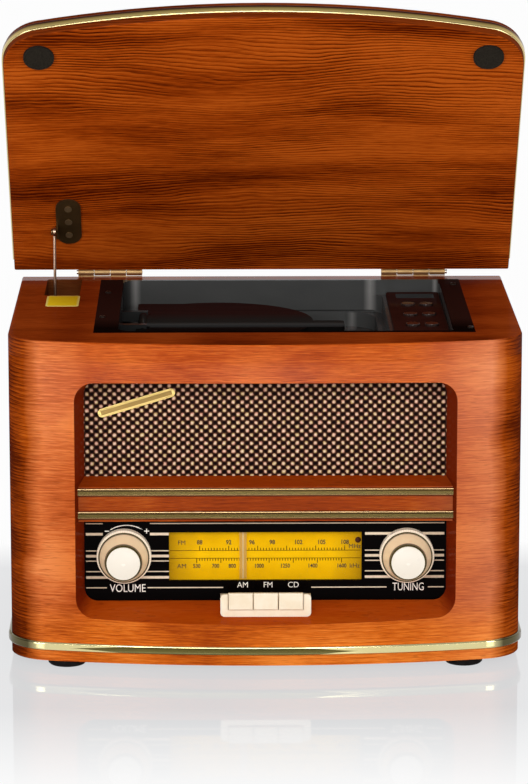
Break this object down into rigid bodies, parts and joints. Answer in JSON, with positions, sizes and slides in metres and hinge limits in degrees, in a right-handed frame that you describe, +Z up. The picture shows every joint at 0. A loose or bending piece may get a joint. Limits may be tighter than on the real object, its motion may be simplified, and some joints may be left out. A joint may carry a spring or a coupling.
{
  "type": "stereo music centre",
  "caption": "Wooden table radio with a compact disc deck under a hinged, stayed lid; cloth grille, dial with pointer, knobs and band keys in front.",
  "frame": {"origin": "centre of the bounding box at the feet's resting plane", "axes": "+Z up, front faces -Y, +X to the right seen from the front; lid open at rest"},
  "size_m": [0.332, 0.2419, 0.4062],
  "materials": {
    "cabinet_wood": "warm orange-brown veneer, fine horizontal grain, satin lacquer",
    "top_wood": "dark red-brown veneer, satin lacquer",
    "lid_wood": "red-brown veneer, satin lacquer",
    "inner_board": "plain brown fibreboard",
    "polished_brass": "polished pale brass, lacquered",
    "antique_bronze": "dull antique bronze",
    "steel": "plain zinc-plated steel",
    "gloss_black": "glossy black panel",
    "matt_black": "moulded black plastic, fine grain",
    "black_rubber": "soft black rubber",
    "charcoal_felt": "charcoal foam pad",
    "grille_weave": "pale dots woven on a dark brown ground",
    "clear_window": "thin clear acrylic",
    "dial_yellow": "yellow dial paper lit from behind",
    "pointer_clear": "amber translucent plastic",
    "knob_beige": "beige moulded plastic",
    "knob_gold": "spun dark gold ring",
    "ivory_plastic": "ivory moulded plastic",
    "deck_plastic": "moulded charcoal plastic",
    "door_black": "polished black plastic",
    "display_lens": "dark tinted display lens",
    "key_grey": "dark grey plastic key",
    "board_green": "green circuit board with parts",
    "transformer_iron": "laminated iron core with taped winding",
    "speaker_paper": "pressed paper cone"
  },
  "bodies": {
    "cabinet": {"baffle_board": "inner_board", "band_switch": "steel", "base_board": "inner_board", "brass_band": "polished_brass", "button_bezel": "ivory_plastic", "cabinet_hinge_leaves": "polished_brass", "cabinet_shell": "cabinet_wood", "cd_mechanism": "matt_black", "centre_bar": "cabinet_wood", "control_panel": "door_black", "deck_tray": "deck_plastic", "dial_plate": "dial_yellow", "dial_window": "clear_window", "display_window": "display_lens", "fascia_panel": "gloss_black", "front_surround": "cabinet_wood", "grille_cloth": "grille_weave", "hinge_pins": "steel", "left_speaker": "steel", "lower_brass_rail": "polished_brass", "main_circuit_board": "board_green", "mains_inlet": "matt_black", "pointer_rail": "steel", "power_transformer": "transformer_iron", "rear_panel": "inner_board", "rear_panel_screws": "steel", "right_speaker": "steel", "rubber_feet": "black_rubber", "speaker_cones": "speaker_paper", "stay_guide": "steel", "top_board": "top_wood", "tuning_control": "steel", "upper_brass_rail": "polished_brass", "volume_control": "steel"},
    "lid": {"lid_board": "lid_wood", "lid_brass_trim": "polished_brass", "lid_pads": "charcoal_felt", "lid_hinge_leaves": "polished_brass", "stay_bracket": "antique_bronze", "stay_bracket_screws": "antique_bronze"},
    "stay": {"stay_wire": "steel"},
    "cd_door": {"cd_door": "door_black"},
    "cd_spindle": {"cd_spindle": "matt_black"},
    "pickup_sled": {"pickup_sled": "matt_black"},
    "volume_knob": {"volume_knob": "knob_beige", "volume_knob_rings": "knob_gold"},
    "tuning_knob": {"tuning_knob": "knob_beige", "tuning_knob_rings": "knob_gold", "dial_drum": "ivory_plastic"},
    "dial_pointer": {"dial_pointer": "pointer_clear"},
    "band_key_am": {"band_key_am": "ivory_plastic"},
    "band_key_fm": {"band_key_fm": "ivory_plastic"},
    "band_key_cd": {"band_key_cd": "ivory_plastic"},
    "cd_key_1": {"cd_key_1": "key_grey"},
    "cd_key_2": {"cd_key_2": "key_grey"},
    "cd_key_3": {"cd_key_3": "key_grey"},
    "cd_key_4": {"cd_key_4": "key_grey"},
    "cd_key_5": {"cd_key_5": "key_grey"},
    "cd_key_6": {"cd_key_6": "key_grey"}
  },
  "joints": [
    {"name": "lid_hinge", "type": "hinge", "parent": "cabinet", "child": "lid", "pos_m": [0, 0.11242, 0.2114], "axis": [-1, 0, 0], "range_deg": [-53.8, 0]},
    {"name": "stay_pivot", "type": "hinge", "parent": "lid", "child": "stay", "pos_m": [-0.13695, 0.08324, 0.24382], "axis": [-1, 0, 0], "range_deg": [0, 53.8]},
    {"name": "cd_door_hinge", "type": "hinge", "parent": "cabinet", "child": "cd_door", "pos_m": [-0.078, 0.03202, 0.1929], "axis": [0, -1, 0], "range_deg": [0, 38]},
    {"name": "spindle_spin", "type": "hinge", "parent": "cabinet", "child": "cd_spindle", "pos_m": [-0.0295, 0.03202, 0.188], "axis": [0, 0, 1], "continuous": true},
    {"name": "sled_slide", "type": "slide", "parent": "cabinet", "child": "pickup_sled", "axis": [1, 0, 0], "range_m": [0, 0.035]},
    {"name": "volume_turn", "type": "hinge", "parent": "cabinet", "child": "volume_knob", "pos_m": [-0.0886, -0.095, 0.0677], "axis": [0, 1, 0], "range_deg": [-150, 150]},
    {"name": "tuning_turn", "type": "hinge", "parent": "cabinet", "child": "tuning_knob", "pos_m": [0.0886, -0.095, 0.0677], "axis": [0, 1, 0], "range_deg": [-129.6, 230.5]},
    {"name": "pointer_slide", "type": "slide", "parent": "cabinet", "child": "dial_pointer", "axis": [1, 0, 0], "range_m": [-0.036, 0.064]},
    {"name": "press_am", "type": "slide", "parent": "cabinet", "child": "band_key_am", "axis": [0, 1, 0], "range_m": [0, 0.0035], "stiffness_N_per_m": 250},
    {"name": "press_fm", "type": "slide", "parent": "cabinet", "child": "band_key_fm", "axis": [0, 1, 0], "range_m": [0, 0.0035], "stiffness_N_per_m": 250},
    {"name": "press_cd", "type": "slide", "parent": "cabinet", "child": "band_key_cd", "axis": [0, 1, 0], "range_m": [0, 0.0035], "stiffness_N_per_m": 250},
    {"name": "press_cd_key_1", "type": "slide", "parent": "cabinet", "child": "cd_key_1", "axis": [0, 0, -1], "range_m": [0, 0.001], "stiffness_N_per_m": 500},
    {"name": "press_cd_key_2", "type": "slide", "parent": "cabinet", "child": "cd_key_2", "axis": [0, 0, -1], "range_m": [0, 0.001], "stiffness_N_per_m": 500},
    {"name": "press_cd_key_3", "type": "slide", "parent": "cabinet", "child": "cd_key_3", "axis": [0, 0, -1], "range_m": [0, 0.001], "stiffness_N_per_m": 500},
    {"name": "press_cd_key_4", "type": "slide", "parent": "cabinet", "child": "cd_key_4", "axis": [0, 0, -1], "range_m": [0, 0.001], "stiffness_N_per_m": 500},
    {"name": "press_cd_key_5", "type": "slide", "parent": "cabinet", "child": "cd_key_5", "axis": [0, 0, -1], "range_m": [0, 0.001], "stiffness_N_per_m": 500},
    {"name": "press_cd_key_6", "type": "slide", "parent": "cabinet", "child": "cd_key_6", "axis": [0, 0, -1], "range_m": [0, 0.001], "stiffness_N_per_m": 500}
  ],
  "couplings": [
    {"joint": "stay_pivot", "follows": "lid_hinge", "ratio": -1},
    {"joint": "pointer_slide", "follows": "tuning_turn", "m_per_rad": 0.0159}
  ]
}
